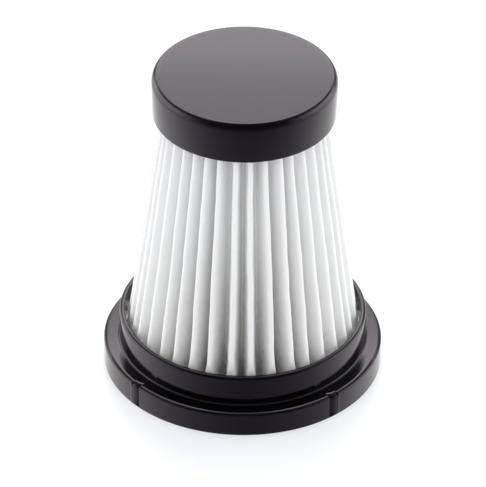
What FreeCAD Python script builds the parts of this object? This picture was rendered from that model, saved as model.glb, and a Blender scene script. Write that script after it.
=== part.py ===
import FreeCAD, Part
import math
import os
from types import SimpleNamespace

import Sketcher

# Driving sizes in millimetres, with the counts of what repeats
SIZES = {
    # base ring: flange on a skirt, collar, and the wall round the outlet
    "flange_radius": 39.0,
    "flange_height": 7.3,
    "flange_plate": 2.0,
    "flange_round": 0.8,
    "skirt_wall": 2.6,
    "collar_radius": 34.6,
    "collar_height": 9.0,
    "collar_wall": 1.5,
    "collar_round": 0.9,
    "outlet_wall": 2.4,
    "outlet_height": 4.7,
    # locating notches in the edge of the flange, which run out above its foot
    "notch_count": 4,
    "notch_turn": 45.0,
    "notch_width": 3.2,
    "notch_depth": 0.7,
    "notch_depth_low": 0.15,
    "notch_end": 0.8,
    # end cap
    "overall_height": 93.8,
    "cap_radius": 25.4,
    "cap_height": 12.9,
    "cap_wall": 1.2,
    "cap_roof": 1.8,
    "cap_round": 2.3,
    "rim_chamfer": 0.5,
    # folded filter sheet, measured on its outer face at the foot
    "pleat_count": 36,
    "foot_clearance": 0.3,
    "head_clearance": 2.4,
    "outlet_clearance": 0.8,
    "pleat_depth": 8.3,
    "ridge_width": 2.6,
    "ridge_shoulder": 0.7,
    "valley_width": 0.7,
    "sheet_thickness": 0.5,
    # set adhesive at both ends of the sheet
    "base_bed": 2.0,
    "cap_bed": 3.0,
    # support cage inside the folds
    "cage_clearance": 0.5,
    "cage_wall": 1.6,
    "rib_count": 8,
    "rib_width": 2.4,
    "rib_depth": 2.4,
    "rib_inset": 0.1,
    "foot_height": 3.0,
    "hoop_count": 1,
    "hoop_height": 2.2,
    "spigot_step": 0.5,
    "spigot_wall": 0.9,
    "spigot_length": 3.0,
    "fit_clearance": 0.1,
    # short flats that stand for each quarter round
    "cap_flat_count": 4,
    "edge_flat_count": 2,
}


class Length:
    """A number together with the sheet formula that gives it."""

    def __init__(self, value, formula):
        self.value = value
        self.formula = formula

    def combine(self, sign, other, value):
        text = other.formula if isinstance(other, Length) else str(other)
        return Length(value, f"({self.formula} {sign} {text})")

    def __add__(self, other):
        return self.combine("+", other, self.value + amount(other))

    def __sub__(self, other):
        return self.combine("-", other, self.value - amount(other))

    def __mul__(self, other):
        return self.combine("*", other, self.value * amount(other))

    def __truediv__(self, other):
        return self.combine("/", other, self.value / amount(other))


def amount(item):
    return item.value if isinstance(item, Length) else item


# The document and its sheet
doc = FreeCAD.newDocument("filter_cartridge")
sheet = doc.addObject("Spreadsheet::Sheet", "sizes")
for row, (alias, value) in enumerate(SIZES.items(), start=1):
    sheet.set(f"A{row}", alias)
    sheet.set(f"B{row}", str(value))
    sheet.setAlias(f"B{row}", alias)
doc.recompute()
size = SimpleNamespace(**{alias: Length(value, f"sizes.{alias}") for alias, value in SIZES.items()})

# Heights and radii that more than one piece shares
zero = Length(0, "0")
collar_top = size.flange_height + size.collar_height
collar_inside = size.collar_radius - size.collar_wall
outlet_top = size.flange_height + size.outlet_height
cap_rim = size.overall_height - size.cap_height
cap_ceiling = size.overall_height - size.cap_roof
cap_inside = size.cap_radius - size.cap_wall
sheet_foot = size.flange_height + size.base_bed
sheet_head = cap_ceiling - size.cap_bed

# The folds fit inside the collar and the cap. They run straight to the tip of one cone,
# so the head of the folds is the foot on a smaller scale
fold_tip_foot = collar_inside - size.foot_clearance
fold_tip_head = cap_inside - size.head_clearance
head_scale = fold_tip_head / fold_tip_foot
folds_inside_foot = fold_tip_foot - size.pleat_depth - size.sheet_thickness
folds_inside_head = fold_tip_head - size.pleat_depth * head_scale - size.sheet_thickness

# The outlet wall and the cage stand inside the folds
outlet_outside = folds_inside_foot - size.outlet_clearance
outlet_inside = outlet_outside - size.outlet_wall
spigot_inside = outlet_inside + size.spigot_step
spigot_outside = spigot_inside + size.spigot_wall
cage_taper = (folds_inside_foot - folds_inside_head) / (sheet_head - sheet_foot)


def cage_outside(height):
    """Radius of the cage, which stays just inside the folds at every height."""
    return folds_inside_foot - size.cage_clearance - cage_taper * (height - sheet_foot)


def cage_inside(height):
    return cage_outside(height) - size.cage_wall


def new_body(label):
    body = doc.addObject("PartDesign::Body", label)
    body.Label = label
    return body


def origin_item(body, role):
    return next(item for item in body.Origin.OriginFeatures if item.Role == role)


def outline(body, name, role, *loops):
    """Sketch on an origin plane: closed loops of corners, each corner tied to the sheet."""
    sketch = body.newObject("Sketcher::SketchObject", name)
    sketch.AttachmentSupport = [(origin_item(body, role), "")]
    sketch.MapMode = "FlatFace"
    for corners in loops:
        first = sketch.GeometryCount
        points = [FreeCAD.Vector(across.value, up.value, 0) for across, up in corners]
        following = points[1:] + points[:1]
        for start, end in zip(points, following):
            sketch.addGeometry(Part.LineSegment(start, end))
        for index, corner in enumerate(corners):
            line = first + index
            after = first + (index + 1) % len(corners)
            sketch.addConstraint(Sketcher.Constraint("Coincident", line, 2, after, 1))
            tie_corner(sketch, line, "DistanceX", corner[0])
            tie_corner(sketch, line, "DistanceY", corner[1])
    return sketch


def tie_corner(sketch, line, direction, length):
    if length is zero:
        axis = -2 if direction == "DistanceX" else -1
        sketch.addConstraint(Sketcher.Constraint("PointOnObject", line, 1, axis))
        return
    number = sketch.addConstraint(Sketcher.Constraint(direction, -1, 1, line, 1, length.value))
    sketch.setExpression(f"Constraints[{number}]", length.formula)


def turn(body, name, *loops):
    """Revolve a section, given as radius and height, round the upright axis."""
    sketch = outline(body, f"{name}_section", "XZ_Plane", *loops)
    turned = body.newObject("PartDesign::Revolution", name)
    turned.Profile = sketch
    turned.ReferenceAxis = (sketch, ["V_Axis"])
    turned.Angle = 360
    sketch.Visibility = False
    doc.recompute()
    return turned


def repeat(body, name, feature, count):
    """Polar pattern of one feature round the upright axis."""
    pattern = body.newObject("PartDesign::PolarPattern", name)
    pattern.Originals = [feature]
    pattern.Axis = (origin_item(body, "Z_Axis"), [""])
    pattern.Angle = 360
    pattern.setExpression("Occurrences", count.formula)
    body.Tip = pattern
    doc.recompute()
    return pattern


def rounded(radius, height, corner, flats):
    """Points up and over a rounded outer corner, as a few short flats along the quarter round."""
    points = []
    for index in range(flats + 1):
        angle = math.pi / 2 * index / flats
        across = radius - corner * (1 - math.cos(angle))
        up = height - corner * (1 - math.sin(angle))
        points.append((across, up))
    return points


def notch_section(body):
    """Wedge in the edge of the flange, seen from the side: open upwards, shallow at its lower end."""
    floor_high = size.flange_radius - size.notch_depth
    floor_low = size.flange_radius - size.notch_depth_low
    outside = size.flange_radius + size.notch_depth
    return outline(body, "notch_section", "XZ_Plane", [
        (floor_low, size.notch_end),
        (outside, size.notch_end),
        (outside, collar_top),
        (floor_high, collar_top),
        (floor_high, size.flange_height),
    ])


def make_base_ring():
    """Flange on a skirt, collar, trough for the folds, outlet wall, and notches in the edge."""
    body = new_body("base_ring")
    plate_under = size.flange_height - size.flange_plate
    skirt_inside = size.flange_radius - size.skirt_wall
    rebate_radius = spigot_outside + size.fit_clearance
    rebate_floor = outlet_top - size.spigot_length
    ring = turn(body, "ring", [
        (size.flange_radius, zero),
        *rounded(size.flange_radius, size.flange_height, size.flange_round, SIZES["edge_flat_count"]),
        (size.collar_radius, size.flange_height),
        *rounded(size.collar_radius, collar_top, size.collar_round, SIZES["edge_flat_count"]),
        (collar_inside, collar_top),
        (collar_inside, size.flange_height),
        (outlet_outside, size.flange_height),
        (outlet_outside, outlet_top),
        (rebate_radius, outlet_top),
        (rebate_radius, rebate_floor),
        (outlet_inside, rebate_floor),
        (outlet_inside, plate_under),
        (skirt_inside, plate_under),
        (skirt_inside, zero),
    ])
    notch = body.newObject("PartDesign::Pocket", "notch")
    notch.Profile = notch_section(body)
    notch.SideType = "Symmetric"
    notch.setExpression("Length", size.notch_width.formula)
    doc.recompute()
    notches = repeat(body, "notches", notch, size.notch_count)
    if notches.Shape.Volume >= ring.Shape.Volume:
        raise RuntimeError("the notches cut nothing")
    body.Placement = FreeCAD.Placement(FreeCAD.Vector(), FreeCAD.Rotation(FreeCAD.Vector(0, 0, 1), 0))
    body.setExpression("Placement.Rotation.Angle", size.notch_turn.formula)
    return body


def make_end_cap():
    """Plain cup, upside down, with a well rounded top edge."""
    body = new_body("end_cap")
    turn(body, "cup", [
        (cap_inside, cap_rim),
        (size.cap_radius - size.rim_chamfer, cap_rim),
        (size.cap_radius, cap_rim + size.rim_chamfer),
        *rounded(size.cap_radius, size.overall_height, size.cap_round, SIZES["cap_flat_count"]),
        (zero, size.overall_height),
        (zero, cap_ceiling),
        (cap_inside, cap_ceiling),
    ])
    return body


def make_support_cage():
    """Foot ring with a spigot, straight tapering ribs, and hoops that tie the ribs."""
    body = new_body("support_cage")
    foot_top = outlet_top + size.foot_height
    spigot_end = outlet_top - size.spigot_length + size.fit_clearance
    turn(body, "foot_ring", [
        (spigot_inside, spigot_end),
        (spigot_outside, spigot_end),
        (spigot_outside, outlet_top),
        (cage_outside(outlet_top), outlet_top),
        (cage_outside(foot_top), foot_top),
        (spigot_inside, foot_top),
    ])

    rib_foot = outlet_top + size.foot_height / 2
    rib = body.newObject("PartDesign::Pad", "rib")
    rib.Profile = outline(body, "rib_outline", "XZ_Plane", [
        (cage_outside(rib_foot) - size.rib_depth, rib_foot),
        (cage_outside(rib_foot) - size.rib_inset, rib_foot),
        (cage_outside(cap_ceiling) - size.rib_inset, cap_ceiling),
        (cage_outside(cap_ceiling) - size.rib_depth, cap_ceiling),
    ])
    rib.SideType = "Symmetric"
    rib.setExpression("Length", size.rib_width.formula)
    doc.recompute()
    repeat(body, "ribs", rib, size.rib_count)

    spacing = (cap_ceiling - outlet_top) / (size.hoop_count + 1)
    hoop_tops = [outlet_top + spacing * (index + 1) for index in range(SIZES["hoop_count"])]
    hoop_tops.append(cap_ceiling)
    sections = []
    for upper in hoop_tops:
        lower = upper - size.hoop_height
        sections.append([
            (cage_inside(lower), lower),
            (cage_outside(lower), lower),
            (cage_outside(upper), upper),
            (cage_inside(upper), upper),
        ])
    turn(body, "hoops", *sections)
    return body


def make_adhesive(label, lower, upper):
    """Ring of set adhesive between two level faces, each given by its inner and outer radius."""
    body = new_body(label)
    lower_height, lower_inner, lower_outer = lower
    upper_height, upper_inner, upper_outer = upper
    turn(body, f"{label}_ring", [
        (lower_inner, lower_height),
        (lower_outer, lower_height),
        (upper_outer, upper_height),
        (upper_inner, upper_height),
    ])
    return body


def folded_outline(scale, height):
    """Outer face of the folded sheet at one height: crests with sloping shoulders, narrow valleys."""
    tip = fold_tip_foot.value * scale
    shoulder = size.ridge_shoulder.value * scale
    half_ridge = size.ridge_width.value / 2 * scale
    half_valley = size.valley_width.value / 2 * scale
    valley = tip - size.pleat_depth.value * scale
    step = 360 / SIZES["pleat_count"]
    upright = FreeCAD.Vector(0, 0, 1)
    points = []
    for index in range(SIZES["pleat_count"]):
        ridge_turn = FreeCAD.Rotation(upright, index * step)
        valley_turn = FreeCAD.Rotation(upright, (index + 0.5) * step)
        for radius, sideways, turned in (
            (tip - shoulder, -half_ridge, ridge_turn),
            (tip, shoulder - half_ridge, ridge_turn),
            (tip, half_ridge - shoulder, ridge_turn),
            (tip - shoulder, half_ridge, ridge_turn),
            (valley, -half_valley, valley_turn),
            (valley, half_valley, valley_turn),
        ):
            points.append(turned.multVec(FreeCAD.Vector(radius, sideways, height)))
    return points


def neighbours(points):
    """Each point of a closed outline with the one before and the one after."""
    return zip(points[-1:] + points[:-1], points, points[1:] + points[:1])


def inset(points, distance):
    """The same outline with every side moved inward by one distance."""
    moved = []
    for before, corner, after in neighbours(points):
        arriving = (corner - before).normalize()
        leaving = (after - corner).normalize()
        inward = FreeCAD.Vector(-arriving.y - leaving.y, arriving.x + leaving.x, 0)
        moved.append(corner + inward * (2 * distance / inward.Length ** 2))
    return moved


def closed_wire(points):
    return Part.makePolygon(points + points[:1])


def make_pleated_media():
    """One sheet folded into flat panels and closed into a cone, with the same thickness all over."""
    thickness = size.sheet_thickness.value
    foot = folded_outline(1, sheet_foot.value)
    head = folded_outline(head_scale.value, sheet_head.value)
    panels = []
    for low, high in ((foot, head), (inset(foot, thickness), inset(head, thickness))):
        for (_, low_start, low_end), (_, high_start, high_end) in zip(neighbours(low), neighbours(high)):
            panels.append(Part.Face(closed_wire([low_start, low_end, high_end, high_start])))
    for outer in (foot, head):
        loops = [closed_wire(outer), closed_wire(inset(outer, thickness))]
        panels.append(Part.makeFace(loops, "Part::FaceMakerCheese"))
    skin = Part.Shell(panels)
    skin.sewShape()
    media = doc.addObject("Part::Feature", "pleated_media")
    media.Label = "pleated_media"
    media.Shape = Part.Solid(skin)
    media.Placement = FreeCAD.Placement()
    return media


nodes = [
    make_base_ring(),
    make_end_cap(),
    make_support_cage(),
    make_adhesive(
        "base_adhesive",
        (size.flange_height, outlet_outside, collar_inside),
        (sheet_foot, outlet_outside, collar_inside),
    ),
    make_adhesive(
        "cap_adhesive",
        (sheet_head, cage_outside(sheet_head), cap_inside),
        (cap_ceiling, cage_outside(cap_ceiling), cap_inside),
    ),
    make_pleated_media(),
]

# Nothing is written unless every object came out whole
doc.recompute()
for item in doc.Objects:
    if "Invalid" in item.State or "Error" in item.State:
        raise RuntimeError(f"{item.Label} failed: {item.State}")
for node in nodes:
    shape = node.Shape
    if shape.isNull() or not shape.isValid() or len(shape.Solids) != 1:
        raise RuntimeError(f"{node.Label} is not one valid solid")

os.makedirs("parts", exist_ok=True)
for node in nodes:
    node.Shape.exportStep(f"parts/{node.Label}.step")
    print(node.Label, round(node.Shape.Volume / 1000, 2), "cm3")
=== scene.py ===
import math
import random

import bpy
from mathutils import Matrix, Vector, noise


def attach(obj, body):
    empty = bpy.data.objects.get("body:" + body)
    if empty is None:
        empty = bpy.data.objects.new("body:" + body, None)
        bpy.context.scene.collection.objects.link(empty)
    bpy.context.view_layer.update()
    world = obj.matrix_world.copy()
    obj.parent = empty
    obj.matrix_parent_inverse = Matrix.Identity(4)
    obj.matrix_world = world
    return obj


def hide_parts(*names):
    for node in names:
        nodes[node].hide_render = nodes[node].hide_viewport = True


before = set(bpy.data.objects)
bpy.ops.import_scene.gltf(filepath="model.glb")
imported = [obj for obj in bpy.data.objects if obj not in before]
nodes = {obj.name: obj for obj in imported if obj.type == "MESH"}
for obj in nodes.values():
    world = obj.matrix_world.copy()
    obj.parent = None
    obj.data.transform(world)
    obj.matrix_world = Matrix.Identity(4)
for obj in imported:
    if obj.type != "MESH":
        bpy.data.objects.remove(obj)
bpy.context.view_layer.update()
mm = 0.001  # the part's sizes are in millimetres, as on a drawing, and the stage's are in metres
mixShare, mixFirst, mixSecond, mixColor = 0, 6, 7, 2  # sockets of a colour mix, whose names repeat
print("frame loaded:", ", ".join(sorted(nodes)))


def linearColor(hexText):  # sRGB hex to the linear values that Blender works in
    channels = [int(hexText[start:start + 2], 16) / 255 for start in (1, 3, 5)]
    linear = [c / 12.92 if c <= 0.04045 else ((c + 0.055) / 1.055) ** 2.4 for c in channels]
    return (*linear, 1.0)


def addNode(tree, kind, settings=None, links=None, stops=None):  # one node, its settings and what feeds it
    node = tree.nodes.new(kind)
    for name, value in (settings or {}).items():
        if isinstance(name, int) or name in node.inputs:
            node.inputs[name].default_value = value
        else:
            setattr(node, name, value)
    for name, source in (links or {}).items():
        tree.links.new(source, node.inputs[name])
    if stops:
        ramp = node.color_ramp.elements
        while len(ramp) < len(stops):
            ramp.new(1.0)
        for element, (position, color) in zip(ramp, stops):
            element.position = position
            element.color = linearColor(color)
    return node


def newMaterial(name):
    material = bpy.data.materials.new(name)
    material.use_nodes = True
    material.node_tree.nodes.clear()
    return material, material.node_tree


def perMm(size):  # texture scale whose features come out this many millimetres wide
    return 1 / (size * mm)


# Moulded ABS
# black ABS from a polished mould: deep and glossy, with a faint ripple and hair-fine rub marks
blackAbs = {"color": "#020203", "worn": "#060608", "sheen": "#FFF2FD", "roughness": (0.08, 0.14), "ior": 1.54,
            "rippleMm": 6.0,
            "rubMm": 0.5}  # rub marks are finer, drawn coarser to show


def mouldedBlackAbs():
    material, tree = newMaterial("mouldedBlackAbs")
    place = addNode(tree, "ShaderNodeTexCoord")
    ripple = addNode(tree, "ShaderNodeTexNoise",
                     {"Scale": perMm(blackAbs["rippleMm"]), "Detail": 2.0, "Roughness": 0.4},
                     {"Vector": place.outputs["Object"]})
    rub = addNode(tree, "ShaderNodeTexNoise",
                  {"Scale": perMm(blackAbs["rubMm"]), "Detail": 4.0, "Roughness": 0.65},
                  {"Vector": place.outputs["Object"]})
    tint = addNode(tree, "ShaderNodeValToRGB", links={"Fac": ripple.outputs["Fac"]},
                   stops=((0.35, blackAbs["color"]), (0.75, blackAbs["worn"])))
    gloss = addNode(tree, "ShaderNodeMapRange",
                    {"From Min": 0.3, "From Max": 0.7,
                     "To Min": blackAbs["roughness"][0], "To Max": blackAbs["roughness"][1]},
                    {"Value": rub.outputs["Fac"]})
    wave = addNode(tree, "ShaderNodeBump", {"Strength": 0.05, "Distance": 0.05 * mm},
                   {"Height": ripple.outputs["Fac"]})
    shader = addNode(tree, "ShaderNodeBsdfPrincipled",
                     {"IOR": blackAbs["ior"], "Specular Tint": linearColor(blackAbs["sheen"])},
                     {"Base Color": tint.outputs["Color"], "Roughness": gloss.outputs["Result"],
                      "Normal": wave.outputs["Normal"]})
    addNode(tree, "ShaderNodeOutputMaterial", links={"Surface": shader.outputs["BSDF"]})
    return material


# Filter sheet
# melt-blown polypropylene fleece on a spun backing: soft white and matt, with a fine nap,
# a grey painted shade drawn into the folds, deeper towards the foot and in the front folds, and a few specks
# of dust
# the grey for the folds is painted shade; dense and thin are the sheet's own tones, and dust is the colour of
# real specks
fleece = {"dense": "#F9F9F9", "thin": "#F4F4F4", "foldShade": "#C0BFBD", "dust": "#6A6865",
          "roughness": 0.9, "ior": 1.49, "cloudMm": 4.0, "blotchMm": 2.2, "speckMm": 1.1,
          "fibreMm": 0.35}  # fibres are finer, drawn coarser to show


def paintedFoldShade(tree, place, foldShadeAndDust):  # painted shade: share of grey drawn into the folds, a little patchy
    blotch = addNode(tree, "ShaderNodeTexNoise",
                     {"Scale": perMm(fleece["blotchMm"]), "Detail": 3.0, "Roughness": 0.6},
                     {"Vector": place.outputs["Object"]})
    patchy = addNode(tree, "ShaderNodeMapRange",
                     {"From Min": 0.35, "From Max": 0.7, "To Min": 0.85, "To Max": 1.15},
                     {"Value": blotch.outputs["Fac"]})
    return addNode(tree, "ShaderNodeMath", {"operation": "MULTIPLY", "use_clamp": True},
                   {0: foldShadeAndDust.outputs["Fac"], 1: patchy.outputs["Result"]})


def settledSpecks(tree, place, foldShadeAndDust, cloud):  # share of dust in specks, drawn out along the folds
    drawnOut = addNode(tree, "ShaderNodeMapping", {"Scale": (1.0, 1.0, 0.4)},
                       {"Vector": place.outputs["Object"]})
    speck = addNode(tree, "ShaderNodeTexVoronoi", {"Scale": perMm(fleece["speckMm"])},
                    {"Vector": drawnOut.outputs["Vector"]})
    speckSize = addNode(tree, "ShaderNodeMapRange",
                        {"From Min": 0.15, "From Max": 0.5, "To Min": 1.0, "To Max": 0.0},
                        {"Value": speck.outputs["Distance"]})
    rare = addNode(tree, "ShaderNodeMapRange",
                   {"From Min": 0.57, "From Max": 0.66}, {"Value": cloud.outputs["Fac"]})
    inFold = addNode(tree, "ShaderNodeMapRange",
                     {"From Min": 0.45, "From Max": 0.8}, {"Value": foldShadeAndDust.outputs["Fac"]})
    rareInFold = addNode(tree, "ShaderNodeMath", {"operation": "MULTIPLY"},
                         {0: rare.outputs["Result"], 1: inFold.outputs["Result"]})
    return addNode(tree, "ShaderNodeMath", {"operation": "MULTIPLY"},
                   {0: rareInFold.outputs["Value"], 1: speckSize.outputs["Result"]})


def filterFleece():
    material, tree = newMaterial("meltBlownFleece")
    place = addNode(tree, "ShaderNodeTexCoord")
    # painted shade in the folds, which also marks where the dust specks may sit
    foldShadeAndDust = addNode(tree, "ShaderNodeAttribute", {"attribute_name": "foldShadeAndDust"})
    cloud = addNode(tree, "ShaderNodeTexNoise",
                    {"Scale": perMm(fleece["cloudMm"]), "Detail": 3.0, "Roughness": 0.6},
                    {"Vector": place.outputs["Object"]})
    fibre = addNode(tree, "ShaderNodeTexNoise",
                    {"Scale": perMm(fleece["fibreMm"]), "Detail": 5.0, "Roughness": 0.7, "Distortion": 1.5},
                    {"Vector": place.outputs["Object"]})
    clean = addNode(tree, "ShaderNodeMix",
                    {"data_type": "RGBA", mixFirst: linearColor(fleece["dense"]),
                     mixSecond: linearColor(fleece["thin"])},
                    {mixShare: cloud.outputs["Fac"]})
    foldShade = paintedFoldShade(tree, place, foldShadeAndDust)
    # the folds painted grey as shade
    foldShaded = addNode(tree, "ShaderNodeMix", {"data_type": "RGBA", mixSecond: linearColor(fleece["foldShade"])},
                     {mixShare: foldShade.outputs["Value"], mixFirst: clean.outputs[mixColor]})
    specks = settledSpecks(tree, place, foldShadeAndDust, cloud)
    color = addNode(tree, "ShaderNodeMix", {"data_type": "RGBA", mixSecond: linearColor(fleece["dust"])},
                    {mixShare: specks.outputs["Value"], mixFirst: foldShaded.outputs[mixColor]})
    nap = addNode(tree, "ShaderNodeBump", {"Strength": 0.35, "Distance": 0.08 * mm},
                  {"Height": fibre.outputs["Fac"]})
    shader = addNode(tree, "ShaderNodeBsdfPrincipled",
                     {"Roughness": fleece["roughness"], "IOR": fleece["ior"], "Specular IOR Level": 0.2,
                      "Sheen Weight": 0.1, "Sheen Roughness": 0.6},
                     {"Base Color": color.outputs[mixColor], "Normal": nap.outputs["Normal"]})
    addNode(tree, "ShaderNodeOutputMaterial", links={"Surface": shader.outputs["BSDF"]})
    return material


# Cage plastic
# polypropylene from an etched mould: dark, satin, with a fine even grain
cagePlastic = {"color": "#121214", "scuffed": "#1E1E20", "roughness": (0.42, 0.55), "ior": 1.49,
               "cloudMm": 5.0,
               "grainMm": 0.4}  # etched grain is finer, drawn coarser to show


def etchedPolypropylene():
    material, tree = newMaterial("etchedPolypropylene")
    place = addNode(tree, "ShaderNodeTexCoord")
    cloud = addNode(tree, "ShaderNodeTexNoise", {"Scale": perMm(cagePlastic["cloudMm"]), "Detail": 3.0},
                    {"Vector": place.outputs["Object"]})
    grain = addNode(tree, "ShaderNodeTexNoise", {"Scale": perMm(cagePlastic["grainMm"]), "Detail": 2.0},
                    {"Vector": place.outputs["Object"]})
    tint = addNode(tree, "ShaderNodeValToRGB", links={"Fac": cloud.outputs["Fac"]},
                   stops=((0.4, cagePlastic["color"]), (0.75, cagePlastic["scuffed"])))
    satin = addNode(tree, "ShaderNodeMapRange",
                    {"To Min": cagePlastic["roughness"][0], "To Max": cagePlastic["roughness"][1]},
                    {"Value": grain.outputs["Fac"]})
    etch = addNode(tree, "ShaderNodeBump", {"Strength": 0.2, "Distance": 0.03 * mm},
                   {"Height": grain.outputs["Fac"]})
    shader = addNode(tree, "ShaderNodeBsdfPrincipled", {"IOR": cagePlastic["ior"]},
                     {"Base Color": tint.outputs["Color"], "Roughness": satin.outputs["Result"],
                      "Normal": etch.outputs["Normal"]})
    addNode(tree, "ShaderNodeOutputMaterial", links={"Surface": shader.outputs["BSDF"]})
    return material


# Adhesive
# polyurethane, poured and set: milky, smooth, with a low gloss and small bubbles under the skin
adhesive = {"color": "#EDECE8", "thin": "#E2E0DA", "roughness": (0.3, 0.5), "ior": 1.5,
            "cloudMm": 6.0, "bubbleMm": 1.4}


def pouredAdhesive():
    material, tree = newMaterial("pouredPolyurethane")
    place = addNode(tree, "ShaderNodeTexCoord")
    cloud = addNode(tree, "ShaderNodeTexNoise", {"Scale": perMm(adhesive["cloudMm"]), "Detail": 3.0},
                    {"Vector": place.outputs["Object"]})
    bubble = addNode(tree, "ShaderNodeTexVoronoi",
                     {"feature": "SMOOTH_F1", "Scale": perMm(adhesive["bubbleMm"])},
                     {"Vector": place.outputs["Object"]})
    tint = addNode(tree, "ShaderNodeValToRGB", links={"Fac": cloud.outputs["Fac"]},
                   stops=((0.35, adhesive["thin"]), (0.65, adhesive["color"])))
    skin = addNode(tree, "ShaderNodeMapRange",
                   {"To Min": adhesive["roughness"][0], "To Max": adhesive["roughness"][1]},
                   {"Value": cloud.outputs["Fac"]})
    blister = addNode(tree, "ShaderNodeBump", {"Strength": 0.25, "Distance": 0.1 * mm},
                      {"Height": bubble.outputs["Distance"]})
    shader = addNode(tree, "ShaderNodeBsdfPrincipled",
                     {"IOR": adhesive["ior"], "Subsurface Weight": 0.2, "Subsurface Scale": 1.0 * mm},
                     {"Base Color": tint.outputs["Color"], "Roughness": skin.outputs["Result"],
                      "Normal": blister.outputs["Normal"]})
    addNode(tree, "ShaderNodeOutputMaterial", links={"Surface": shader.outputs["BSDF"]})
    return material


absMaterial = mouldedBlackAbs()
fleeceMaterial = filterFleece()
cageMaterial = etchedPolypropylene()
adhesiveMaterial = pouredAdhesive()
print("materials made")


def mixed(low, high, share):
    return low + (high - low) * share


def fade(value, full, none):  # eases from one at full to zero at none
    share = min(max((value - none) / (full - none), 0.0), 1.0)
    return share * share * (3 - 2 * share)


# a round of a turned section, oval where its height is given
def arcPoints(centerRadius, centerHeight, radius, startDeg, endDeg, steps, tall=None):
    points = []
    for step in range(steps + 1):
        angle = math.radians(mixed(startDeg, endDeg, step / steps))
        rise = (tall or radius) * math.sin(angle)
        points.append((centerRadius + radius * math.cos(angle), centerHeight + rise))
    return points


def meshPiece(name, vertices, faces, material):
    mesh = bpy.data.meshes.new(name)
    mesh.from_pydata(vertices, [], faces)
    mesh.update()
    mesh.polygons.foreach_set("use_smooth", [True] * len(mesh.polygons))
    mesh.materials.append(material)
    piece = bpy.data.objects.new(name, mesh)
    bpy.context.collection.objects.link(piece)
    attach(piece, "root")
    return piece


def gridFaces(columns, rows):  # quads of a sheet that closes on itself both ways
    faces = []
    for column in range(columns):
        here = column * rows
        after = (column + 1) % columns * rows
        for row in range(rows):
            above = (row + 1) % rows
            faces.append((here + row, after + row, after + above, here + above))
    return faces


def sharpenCorners(piece, degrees):  # keeps hard corners hard under smooth shading
    piece.data.set_sharp_from_angle(angle=math.radians(degrees))


# Base ring: turned section, with the edge pushed in at each notch
baseRing = {"flangeRadius": 39.0, "flangeHeight": 7.3, "edgeWide": 1.3, "edgeTall": 0.8, "footRound": 0.25,
            "collarRadius": 34.6, "collarTop": 16.3, "collarInside": 33.1, "collarRound": 0.9,
            "lipRound": 0.3, "rootFillet": 0.5, "outletOutside": 23.2, "outletTop": 12.0,
            "outletInside": 20.8, "rebateRadius": 22.3, "rebateFloor": 9.0, "plateUnder": 5.3,
            "skirtInside": 36.4,
            "wallRows": (0.055, 0.085, 0.3, 0.55, 0.75, 0.82),  # shares of the flange's height
            "landRows": (2.4, 1.8, 1.2),  # out from the collar
            "smallSteps": 4, "rootSteps": 6, "collarSteps": 10, "edgeSteps": 12,
            "notchCount": 4, "notchTurn": 45.0, "notchReach": 3.6, "notchFrom": 43.2,
            "notchRamp": 2.7, "notchDepth": 0.85, "notchStep": 0.12,
            "notchLip": 0.07, "lipPast": 0.35, "lipWide": 0.3,
            "notchDip": 0.45, "dipFrom": 5.8, "dipEase": 0.5, "notchFull": 0.6, "notchEnd": 0.25,
            "stillWall": 0.05, "levelSlack": 0.001, "hardCorner": 50.0, "columns": 480, "notchColumns": 72}


def baseSection():  # outline of the section: up outside, over the collar, and back under the plate
    s = baseRing
    flange, top, collar = s["flangeRadius"], s["flangeHeight"], s["collarRadius"]
    foot, lip, root, crest = s["footRound"], s["lipRound"], s["rootFillet"], s["collarRound"]
    wide, tall, few = s["edgeWide"], s["edgeTall"], s["smallSteps"]
    points = arcPoints(flange - foot, foot, foot, -90, 0, few)
    points += [(flange, top * share) for share in s["wallRows"]]
    points += arcPoints(flange - wide, top - tall, wide, 0, 90, s["edgeSteps"], tall)
    points += [(collar + out, top) for out in s["landRows"]]
    points += arcPoints(collar + root, top + root, root, 270, 180, s["rootSteps"])
    points += arcPoints(collar - crest, s["collarTop"] - crest, crest, 0, 90, s["collarSteps"])
    points += arcPoints(s["collarInside"] + lip, s["collarTop"] - lip, lip, 90, 180, few)
    points += [(s["collarInside"], top), (s["outletOutside"], top), (s["outletOutside"], s["outletTop"]),
               (s["rebateRadius"], s["outletTop"]), (s["rebateRadius"], s["rebateFloor"]),
               (s["outletInside"], s["rebateFloor"])]
    points += arcPoints(s["outletInside"] + lip, s["plateUnder"] + lip, lip, 180, 270, few)
    points += arcPoints(s["skirtInside"] - root, s["plateUnder"] - root, root, 90, 0, few)
    points += arcPoints(s["skirtInside"] + foot, foot, foot, 180, 270, few)
    return points


def notchPush(angle):  # how deep the wall is cut in at this angle, and how much more at its top
    s = baseRing
    fromAxis = math.atan2(abs(math.cos(angle)), abs(math.sin(angle)))  # the notches mirror across both axes
    along = (fromAxis - math.radians(s["notchFrom"])) * s["flangeRadius"]
    if along > 0:
        cut = max(1 - along / s["notchRamp"], 0.0) ** 2
    else:
        cut = max(1 + along / s["notchStep"], 0.0)
    past = along - s["notchRamp"] - s["lipPast"]
    swell = math.exp(-(past / s["lipWide"]) ** 2)  # thin raised lip where the ramp begins
    inside = fade(along, s["notchRamp"], s["notchRamp"] + s["dipEase"]) * fade(along, 0.0, -s["notchStep"])
    return s["notchDepth"] * cut - s["notchLip"] * swell, s["notchDip"] * inside


def ringAngles():  # even columns, with more of them across each notch
    s = baseRing
    angles = [math.tau * index / s["columns"] for index in range(s["columns"])]
    reach = s["notchReach"] / s["flangeRadius"]
    across = [2 * step / s["notchColumns"] - 1 for step in range(s["notchColumns"] + 1)]
    for notch in range(s["notchCount"]):
        center = math.radians(s["notchTurn"]) + math.tau * notch / s["notchCount"]
        angles = [a for a in angles if abs((a - center + math.pi) % math.tau - math.pi) > reach]
        angles += [center + reach * side for side in across]
    return sorted(a % math.tau for a in angles)


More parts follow.
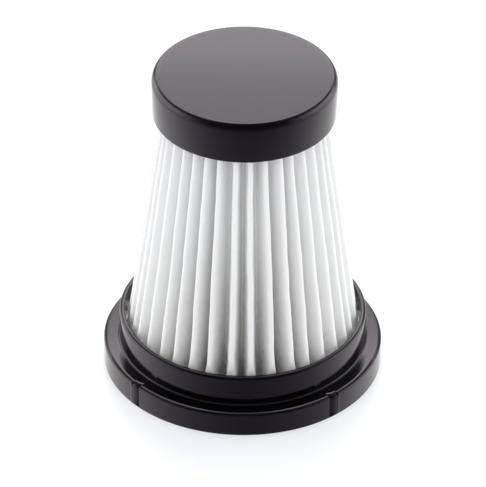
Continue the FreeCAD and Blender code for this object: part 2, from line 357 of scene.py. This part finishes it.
def makeBaseRing():
    s = baseRing
    section = baseSection()
    angles = ringAngles()
    edge = s["flangeRadius"] - s["edgeWide"]
    still = s["skirtInside"] + s["stillWall"]  # inside this radius nothing is pushed
    vertices = []
    for angle in angles:
        push, dip = notchPush(angle)
        for radius, height in section:
            onFlange = height <= s["flangeHeight"] + s["levelSlack"]
            share = min(max((radius - still) / (edge - still), 0.0), 1.0) if onFlange else 0.0
            opened = fade(height, s["notchFull"], s["notchEnd"])  # a thin rim closes the notch at the foot
            pulled = radius - share * (push * opened + dip * fade(height, s["flangeHeight"], s["dipFrom"]))
            vertices.append((pulled * math.cos(angle) * mm, pulled * math.sin(angle) * mm, height * mm))
    piece = meshPiece("baseRing", vertices, gridFaces(len(angles), len(section)), absMaterial)
    sharpenCorners(piece, s["hardCorner"])
    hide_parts("base_ring")


makeBaseRing()
print("base ring made")


# End cap: turned cup, a touch wider at the top
endCap = {"topRadius": 25.6, "rimRadius": 25.3, "rim": 81.4, "top": 93.8, "edgeWide": 1.4, "edgeTall": 2.4,
          "rimRound": 0.4, "inside": 24.2, "ceiling": 92.0, "rimSteps": 5, "edgeSteps": 24,
          "ceilingRows": (0.02, 0.5, 0.9), "topRows": (0.95, 0.7, 0.4, 0.1, 0.02),  # shares of the flat
          "hardCorner": 50.0, "columns": 256}


def capSection():  # outline of the section, from the middle of the ceiling out and over to the top's middle
    s = endCap
    flat, rim = s["topRadius"] - s["edgeWide"], s["rimRound"]
    points = [(flat * share, s["ceiling"]) for share in s["ceilingRows"]]
    points += [(s["inside"], s["ceiling"]), (s["inside"], s["rim"])]
    points += arcPoints(s["rimRadius"] - rim, s["rim"] + rim, rim, -90, 0, s["rimSteps"])
    points += arcPoints(flat, s["top"] - s["edgeTall"], s["edgeWide"], 0, 90, s["edgeSteps"], s["edgeTall"])
    points += [(flat * share, s["top"]) for share in s["topRows"]]
    return points


def makeEndCap():
    s = endCap
    section = capSection()
    vertices = []
    for column in range(s["columns"]):
        angle = math.tau * column / s["columns"]
        for radius, height in section:
            vertices.append((radius * math.cos(angle) * mm, radius * math.sin(angle) * mm, height * mm))
    rows = len(section)
    quads = gridFaces(s["columns"], rows)
    faces = [quad for index, quad in enumerate(quads) if index % rows != rows - 1]  # none across the axis
    for row, flip in ((0, False), (rows - 1, True)):
        ring = [column * rows + row for column in range(s["columns"])]
        faces.append(tuple(ring if flip else reversed(ring)))
    piece = meshPiece("endCap", vertices, faces, absMaterial)
    sharpenCorners(piece, s["hardCorner"])
    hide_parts("end_cap")


makeEndCap()
print("end cap made")


# Pleats: one folded sheet, each fold a little off its even place
pleats = {"count": 36, "foot": 9.3, "head": 89.0, "sheet": 0.45, "valleyRadius": 0.35,
          "tipFoot": 32.65, "tipHead": 21.7, "depthFoot": 8.1, "depthHead": 5.3,
          "ridgeFoot": 0.8, "ridgeHead": 0.65,
          "seed": 11, "turnJitter": 0.7, "tipJitter": 0.18, "widthFrom": 0.88, "widthTo": 1.12,
          # folds on the seen side, in degrees off their even places, first the one at the left
          "seenFirst": 21,
          "seenTurns": (-2.1, -1.6, -1.1, -2.1, -2.4, -2.8, -1.1, -1.1,
                        -0.1, 0.4, -0.4, -0.6, 0.2, -0.1, -1.6),
          # wander along each fold: how far, how fast with height, and what tells folds and kinds apart
          "drift": {"far": 0.3, "fast": 0.035, "apart": 3.7, "layer": 1.0},
          "kink": {"far": 0.16, "fast": 0.17, "apart": 9.3, "layer": 4.0},
          "lift": {"far": 0.18, "fast": 0.06, "apart": 5.1, "layer": 7.0},
          "floor": {"far": 0.3, "fast": 0.03, "apart": 1.0, "layer": 3.0},
          "endsWander": 0.35, "wanderEase": 0.5,  # the ends are held, the middle wanders
          "dents": 0.06, "dentAcross": 0.5, "dentUp": 0.22,
          "flareBelow": 15.2, "flareReach": 1.3, "flare": 0.55,  # the adhesive spreads the foot
          # where painted shade darkens the folds and dust specks may sit: rising from the foot, towards the
          # front, deeper in the folds
          "shadeDustFrom": 8.0, "shadeDustTo": 62.0, "shadeDustAbove": 0.12, "shadeDustTurn": -85.0, "shadeDustNarrow": 4,
          "ridgeShadeDust": 0.28, "shadeDustSpread": 0.75,
          "rows": 52, "rowCrowding": 1.5, "crestSteps": 4, "flankSteps": 4, "valleySteps": 3}


def uneven(kind, index, height):  # smooth wander of one fold, in millimetres
    s = pleats[kind]
    return s["far"] * noise.noise(Vector((index * s["apart"], height * s["fast"], s["layer"])))


def creaseRound(angle, distance, radius):  # the round that the sheet bends about
    center = Vector((distance * math.cos(angle), distance * math.sin(angle)))
    return {"angle": angle, "center": center, "radius": radius}


def ridgeRounds(share, height, turns, tips, widths):  # outer creases, with the first again a full turn on
    s = pleats
    free = mixed(s["endsWander"], 1.0, math.sin(math.pi * share) ** s["wanderEase"])
    flare = s["flare"] * math.exp(-max(height - s["flareBelow"], 0.0) / s["flareReach"])
    rounds = []
    for index in range(s["count"]):
        drift = uneven("drift", index, height) * free + uneven("kink", index, height)
        lift = uneven("lift", index, height) * free
        tip = mixed(s["tipFoot"], s["tipHead"], share) + (tips[index] + lift) * free
        radius = mixed(s["ridgeFoot"], s["ridgeHead"], share) * widths[index] * (1 + flare)
        angle = index * math.tau / s["count"] + turns[index] + drift / tip
        rounds.append(creaseRound(angle, tip - radius, radius))
    return rounds + [{**rounds[0], "angle": rounds[0]["angle"] + math.tau}]


def valleyRounds(share, height, ridges):  # inner creases, each midway between two ridges
    s = pleats
    floor = mixed(s["tipFoot"], s["tipHead"], share) - mixed(s["depthFoot"], s["depthHead"], share)
    rounds = []
    for index in range(s["count"]):
        middle = (ridges[index]["angle"] + ridges[index + 1]["angle"]) / 2
        distance = floor + uneven("floor", index, height) + s["valleyRadius"]
        rounds.append(creaseRound(middle, distance, s["valleyRadius"]))
    return rounds


def flankTurn(ridge, valley, side):  # direction from the ridge's centre to where the flat flank begins
    across = valley["center"] - ridge["center"]
    lean = math.acos(min((ridge["radius"] + valley["radius"]) / across.length, 1.0))
    turn = math.atan2(across.y, across.x) + side * lean
    return ridge["angle"] + (turn - ridge["angle"] + math.pi) % math.tau - math.pi  # within half a turn


def roundPoints(crease, fromTurn, toTurn, steps, innerRadius, depth):  # sheet bent round a crease
    points = []
    for step in range(steps + 1):
        turn = mixed(fromTurn, toTurn, step / steps)
        direction = Vector((math.cos(turn), math.sin(turn)))
        outer = crease["center"] + direction * crease["radius"]
        inner = crease["center"] + direction * innerRadius
        points.append((outer, inner, depth))
    return points


def flankPoints(start, end):  # flat sheet between two rounds, without its ends
    steps = pleats["flankSteps"]
    points = []
    for step in range(1, steps):
        part = step / steps
        outer = start[0].lerp(end[0], part)
        inner = start[1].lerp(end[1], part)
        points.append((outer, inner, mixed(start[2], end[2], part)))
    return points


def foldPoints(ridge, valley, after):  # one fold, from a ridge's crest to just short of the next crest
    s = pleats
    leaving = flankTurn(ridge, valley, -1)
    arriving = flankTurn(after, valley, 1)
    down = roundPoints(ridge, ridge["angle"], leaving, s["crestSteps"], ridge["radius"] - s["sheet"], 0.0)
    floor = roundPoints(valley, leaving + math.pi, arriving + math.pi, s["valleySteps"],
                        valley["radius"] + s["sheet"], 1.0)
    up = roundPoints(after, arriving, after["angle"], s["crestSteps"], after["radius"] - s["sheet"], 0.0)
    return down + flankPoints(down[-1], floor[0]) + floor + flankPoints(floor[-1], up[0]) + up[:-1]


def sheetPoints(share, height, folds):  # both faces of the sheet at one height, and the depth in the fold
    ridges = ridgeRounds(share, height, *folds)
    points = []
    for index, valley in enumerate(valleyRounds(share, height, ridges)):
        points += foldPoints(ridges[index], valley, ridges[index + 1])
    return points


def drawFolds():  # each fold's turn off its even place, its reach and its width
    s = pleats
    dice = random.Random(s["seed"])
    turns = [dice.uniform(-1, 1) * s["turnJitter"] for _ in range(s["count"])]
    turns[s["seenFirst"]:s["seenFirst"] + len(s["seenTurns"])] = s["seenTurns"]
    tips = [dice.uniform(-1, 1) * s["tipJitter"] for _ in range(s["count"])]
    widths = [dice.uniform(s["widthFrom"], s["widthTo"]) for _ in range(s["count"])]
    return [math.radians(turn) for turn in turns], tips, widths


def dented(point, height):  # the point in metres, moved by soft dents
    s = pleats
    spot = Vector((point.x * s["dentAcross"], point.y * s["dentAcross"], height * s["dentUp"]))
    grown = point * (1 + noise.noise(spot) * s["dents"] / point.length)
    return (grown.x * mm, grown.y * mm, height * mm)


def addFoldShadeAndDust(piece, loop, depths):  # how much painted shade each point gets, most in the front folds' foot; the dust specks keep to it too
    s = pleats
    front = math.radians(s["shadeDustTurn"])
    facingShare = []
    for (x, y, _), depth in zip(loop[0], depths):
        facing = (0.5 + 0.5 * math.cos(math.atan2(y, x) - front)) ** s["shadeDustNarrow"]
        facingShare.append(facing * mixed(s["ridgeShadeDust"], 1.0, depth ** s["shadeDustSpread"]))
    heights = [row[0][2] / mm for row in loop]
    heightShare = [mixed(s["shadeDustAbove"], 1.0, fade(height, s["shadeDustFrom"], s["shadeDustTo"])) for height in heights]
    layer = piece.data.attributes.new("foldShadeAndDust", "FLOAT", "POINT")
    layer.data.foreach_set("value", [amount * share for amount in facingShare for share in heightShare])


def makePleats():
    s = pleats
    folds = drawFolds()
    outerRows, innerRows = [], []
    for row in range(s["rows"]):
        share = (row / (s["rows"] - 1)) ** s["rowCrowding"]  # closer rows near the foot
        height = mixed(s["foot"], s["head"], share)
        points = sheetPoints(share, height, folds)
        outerRows.append([dented(outer, height) for outer, _, _ in points])
        innerRows.append([dented(inner, height) for _, inner, _ in points])
    loop = outerRows + innerRows[::-1]  # up the outside and down the inside
    rows, columns = len(loop), len(points)
    vertices = [loop[row][column] for column in range(columns) for row in range(rows)]
    piece = meshPiece("pleatedSheet", vertices, gridFaces(columns, rows), fleeceMaterial)
    addFoldShadeAndDust(piece, loop, [depth for _, _, depth in points])
    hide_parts("pleated_media")


makePleats()
print("pleats made")

# The cage and the adhesive keep their CAD shape
for nodeName, finish in (("support_cage", cageMaterial), ("base_adhesive", adhesiveMaterial),
                         ("cap_adhesive", adhesiveMaterial)):
    nodes[nodeName].data.materials.clear()
    nodes[nodeName].data.materials.append(finish)
print("inner pieces finished")


# Floor: opal acrylic table, faintly lit from below, that runs out of sight
floorBoard = {"size": 6.0, "color": "#7C7D7E", "cloud": "#787A7B", "cloudMm": 80.0, "glow": "#FAFCFF",
              "lit": 0.66, "roughness": (0.28, 0.36), "ior": 1.45}


def litOpalAcrylic():  # smooth and evenly pale, with the faintest clouding
    s = floorBoard
    material, tree = newMaterial("litOpalAcrylic")
    place = addNode(tree, "ShaderNodeTexCoord")
    cloud = addNode(tree, "ShaderNodeTexNoise", {"Scale": perMm(s["cloudMm"]), "Detail": 3.0},
                    {"Vector": place.outputs["Object"]})
    tint = addNode(tree, "ShaderNodeValToRGB", links={"Fac": cloud.outputs["Fac"]},
                   stops=((0.3, s["cloud"]), (0.7, s["color"])))
    sheen = addNode(tree, "ShaderNodeMapRange", {"To Min": s["roughness"][0], "To Max": s["roughness"][1]},
                    {"Value": cloud.outputs["Fac"]})
    shader = addNode(tree, "ShaderNodeBsdfPrincipled",
                     {"IOR": s["ior"], "Emission Color": linearColor(s["glow"]),
                      "Emission Strength": s["lit"]},
                     {"Base Color": tint.outputs["Color"], "Roughness": sheen.outputs["Result"]})
    addNode(tree, "ShaderNodeOutputMaterial", links={"Surface": shader.outputs["BSDF"]})
    return material


def makeFloor():
    half = floorBoard["size"] / 2
    corners = [(-half, -half, 0), (half, -half, 0), (half, half, 0), (-half, half, 0)]
    mesh = bpy.data.meshes.new("floor")
    mesh.from_pydata(corners, [], [(0, 1, 2, 3)])
    mesh.materials.append(litOpalAcrylic())
    floor = bpy.data.objects.new("floor", mesh)
    bpy.context.collection.objects.link(floor)
    floor.visible_glossy = False  # black gloss shows the room, not the board


makeFloor()


# Room: what gloss shows, a soft box behind and overhead, a low glow at both sides and a white table,
# dark towards the camera; all else gets plain white light
room = {"turn": 4.4, "plain": "#FFFFFF", "plainLevel": 0.8, "sideShift": 0.08, "tableLean": (-0.13, 1.0, 0.0),
        "soft": {"interpolation_type": "SMOOTHSTEP"},
        "boxLevel": {"From Min": 0.58, "From Max": 0.74, "To Min": 1.58, "To Max": 3.2},  # brighter higher up
        "boxAcross": {"From Min": 0.12, "From Max": 0.42, "To Max": 0.0},
        "boxAhead": {"From Min": -0.1, "From Max": 0.32, "To Min": 0.0},
        "sideLevel": {"From Min": 0.3, "From Max": 0.58, "To Min": 1.8, "To Max": 0.0},  # fades out higher up
        "sideAcross": {"From Min": 0.54, "From Max": 0.78, "To Min": 0.0},
        "sideAhead": {"From Min": -0.8, "From Max": 0.1, "To Min": 0.0},
        "sky": {"From Min": -0.6, "From Max": 0.3, "To Min": 0.08, "To Max": 0.4},
        "horizon": {"From Min": -0.45, "From Max": 0.1},
        "table": {"From Min": -1.0, "From Max": 0.2, "To Min": 0.18, "To Max": 1.19},  # dimmer in front
        "tableTint": {"From Min": -1.0, "From Max": 0.2},
        "coolFront": "#DAD9F0", "plainBack": "#FFFFFF"}


def softBox(tree, axes):  # behind and overhead
    s = room
    across = addNode(tree, "ShaderNodeMath", {"operation": "ABSOLUTE"}, {0: axes.outputs["X"]})
    level = addNode(tree, "ShaderNodeMapRange", {**s["soft"], **s["boxLevel"]}, {"Value": axes.outputs["Z"]})
    within = addNode(tree, "ShaderNodeMapRange", {**s["soft"], **s["boxAcross"]},
                     {"Value": across.outputs["Value"], "To Min": level.outputs["Result"]})
    return addNode(tree, "ShaderNodeMapRange", {**s["soft"], **s["boxAhead"]},
                   {"Value": axes.outputs["Y"], "To Max": within.outputs["Result"]})


def sideGlow(tree, axes):  # low, at both sides
    s = room
    shifted = addNode(tree, "ShaderNodeMath", {"operation": "SUBTRACT", 1: s["sideShift"]},
                      {0: axes.outputs["X"]})
    aside = addNode(tree, "ShaderNodeMath", {"operation": "ABSOLUTE"}, {0: shifted.outputs["Value"]})
    level = addNode(tree, "ShaderNodeMapRange", {**s["soft"], **s["sideLevel"]}, {"Value": axes.outputs["Z"]})
    within = addNode(tree, "ShaderNodeMapRange", {**s["soft"], **s["sideAcross"]},
                     {"Value": aside.outputs["Value"], "To Max": level.outputs["Result"]})
    return addNode(tree, "ShaderNodeMapRange", {**s["soft"], **s["sideAhead"]},
                   {"Value": axes.outputs["Y"], "To Max": within.outputs["Result"]})


def aboveTable(tree, axes):  # the lamps, and a dim sky round them
    lamps = addNode(tree, "ShaderNodeMath", {"operation": "ADD"},
                    {0: softBox(tree, axes).outputs["Result"], 1: sideGlow(tree, axes).outputs["Result"]})
    sky = addNode(tree, "ShaderNodeMapRange", {**room["soft"], **room["sky"]}, {"Value": axes.outputs["Y"]})
    return addNode(tree, "ShaderNodeMath", {"operation": "ADD"},
                   {0: lamps.outputs["Value"], 1: sky.outputs["Result"]})


def makeRoom():
    s = room
    world = bpy.data.worlds.new("studio")
    bpy.context.scene.world = world
    world.use_nodes = True
    tree = world.node_tree
    tree.nodes.clear()
    place = addNode(tree, "ShaderNodeTexCoord")
    turned = addNode(tree, "ShaderNodeMapping", {"Rotation": (0, 0, -math.radians(s["turn"]))},
                     {"Vector": place.outputs["Generated"]})
    axes = addNode(tree, "ShaderNodeSeparateXYZ", links={"Vector": turned.outputs["Vector"]})
    along = addNode(tree, "ShaderNodeVectorMath", {"operation": "DOT_PRODUCT", 1: s["tableLean"]},
                    {0: turned.outputs["Vector"]})
    upper = aboveTable(tree, axes)
    table = addNode(tree, "ShaderNodeMapRange", s["table"], {"Value": along.outputs["Value"]})
    level = addNode(tree, "ShaderNodeMapRange", {**s["soft"], **s["horizon"]},
                    {"Value": axes.outputs["Z"], "To Min": table.outputs["Result"],
                     "To Max": upper.outputs["Value"]})
    tableTint = addNode(tree, "ShaderNodeMapRange", {**s["soft"], **s["tableTint"]},
                        {"Value": along.outputs["Value"]})
    tint = addNode(tree, "ShaderNodeValToRGB", links={"Fac": tableTint.outputs["Result"]},
                   stops=((0.0, s["coolFront"]), (1.0, s["plainBack"])))
    light = addNode(tree, "ShaderNodeBackground",
                    links={"Color": tint.outputs["Color"], "Strength": level.outputs["Result"]})
    plain = addNode(tree, "ShaderNodeBackground",
                    {"Color": linearColor(s["plain"]), "Strength": s["plainLevel"]})
    path = addNode(tree, "ShaderNodeLightPath")
    both = addNode(tree, "ShaderNodeMixShader",
                   links={0: path.outputs["Is Glossy Ray"], 1: plain.outputs[0], 2: light.outputs[0]})
    addNode(tree, "ShaderNodeOutputWorld", links={"Surface": both.outputs[0]})


makeRoom()


# Camera: long lens, looking down by a third of a right angle, turned a little to the right
shot = {"distance": 1.67565, "elevation": 34.37, "azimuth": 4.4, "roll": 0.479, "aim": 0.037742,
        "focalPx": 6013.4, "framePx": 487, "offsetPx": 0.381, "sensor": 36.0, "near": 0.1, "far": 20.0}


def makeCamera():
    s = shot
    turn, rise = math.radians(s["azimuth"]), math.radians(s["elevation"])
    back = Vector((math.sin(turn) * math.cos(rise), -math.cos(turn) * math.cos(rise), math.sin(rise)))
    data = bpy.data.cameras.new("camera")
    data.sensor_width = s["sensor"]
    data.lens = s["focalPx"] * s["sensor"] / s["framePx"]
    data.shift_x = -s["offsetPx"] / s["framePx"]
    data.clip_start, data.clip_end = s["near"], s["far"]
    camera = bpy.data.objects.new("camera", data)
    bpy.context.collection.objects.link(camera)
    look = (-back).to_track_quat("-Z", "Y").to_matrix() @ Matrix.Rotation(math.radians(s["roll"]), 3, "Z")
    camera.rotation_euler = look.to_euler()
    camera.location = Vector((0, 0, s["aim"])) + back * s["distance"]
    bpy.context.scene.camera = camera


makeCamera()


# Panels: soft fill all round and from above that gloss doesn't show, and a low strip behind that only
# gloss shows, which fades out across the cap's top
panels = {"leftFill": {"across": -0.68, "behind": 0.05, "lift": 0.34, "wide": 0.9, "tall": 0.6, "glow": 1.25},
          "rightFill": {"across": 0.68, "behind": 0.05, "lift": 0.34, "wide": 0.9, "tall": 0.6, "glow": 1.25},
          "frontFill": {"across": 0.0, "behind": -1.1, "lift": 0.85, "wide": 1.4, "tall": 0.7, "glow": 0.25},
          "backFill": {"across": 0.0, "behind": 0.8, "lift": 0.25, "wide": 1.4, "tall": 0.4, "glow": 0.1},
          "overhead": {"across": 0.0, "behind": 0.2, "lift": 1.0, "wide": 0.5, "tall": 0.2, "glow": 30.0},
          "backStrip": {"across": 0.0, "behind": 0.34, "lift": 0.28, "wide": 0.9, "tall": 0.05, "glow": 1.15}}
glossOnly = ("backStrip",)


def makePanel(name, s):
    data = bpy.data.lights.new(name, "AREA")
    data.shape = "RECTANGLE"
    data.size, data.size_y = s["wide"], s["tall"]
    data.energy = s["glow"] * math.pi * s["wide"] * s["tall"]  # watts that give this brightness
    lamp = bpy.data.objects.new(name, data)
    bpy.context.collection.objects.link(lamp)
    spot = Vector((s["across"], s["behind"], s["lift"]))
    lamp.location = Matrix.Rotation(math.radians(room["turn"]), 3, "Z") @ spot
    aim = Vector((0, 0, shot["aim"])) - lamp.location
    lamp.rotation_euler = aim.to_track_quat("-Z", "Y").to_euler()
    lamp.visible_glossy = name in glossOnly
    lamp.visible_diffuse = name not in glossOnly


for panelName, panel in panels.items():
    makePanel(panelName, panel)
bpy.context.scene.view_settings.view_transform = "Standard"
print("stage, light and camera made")
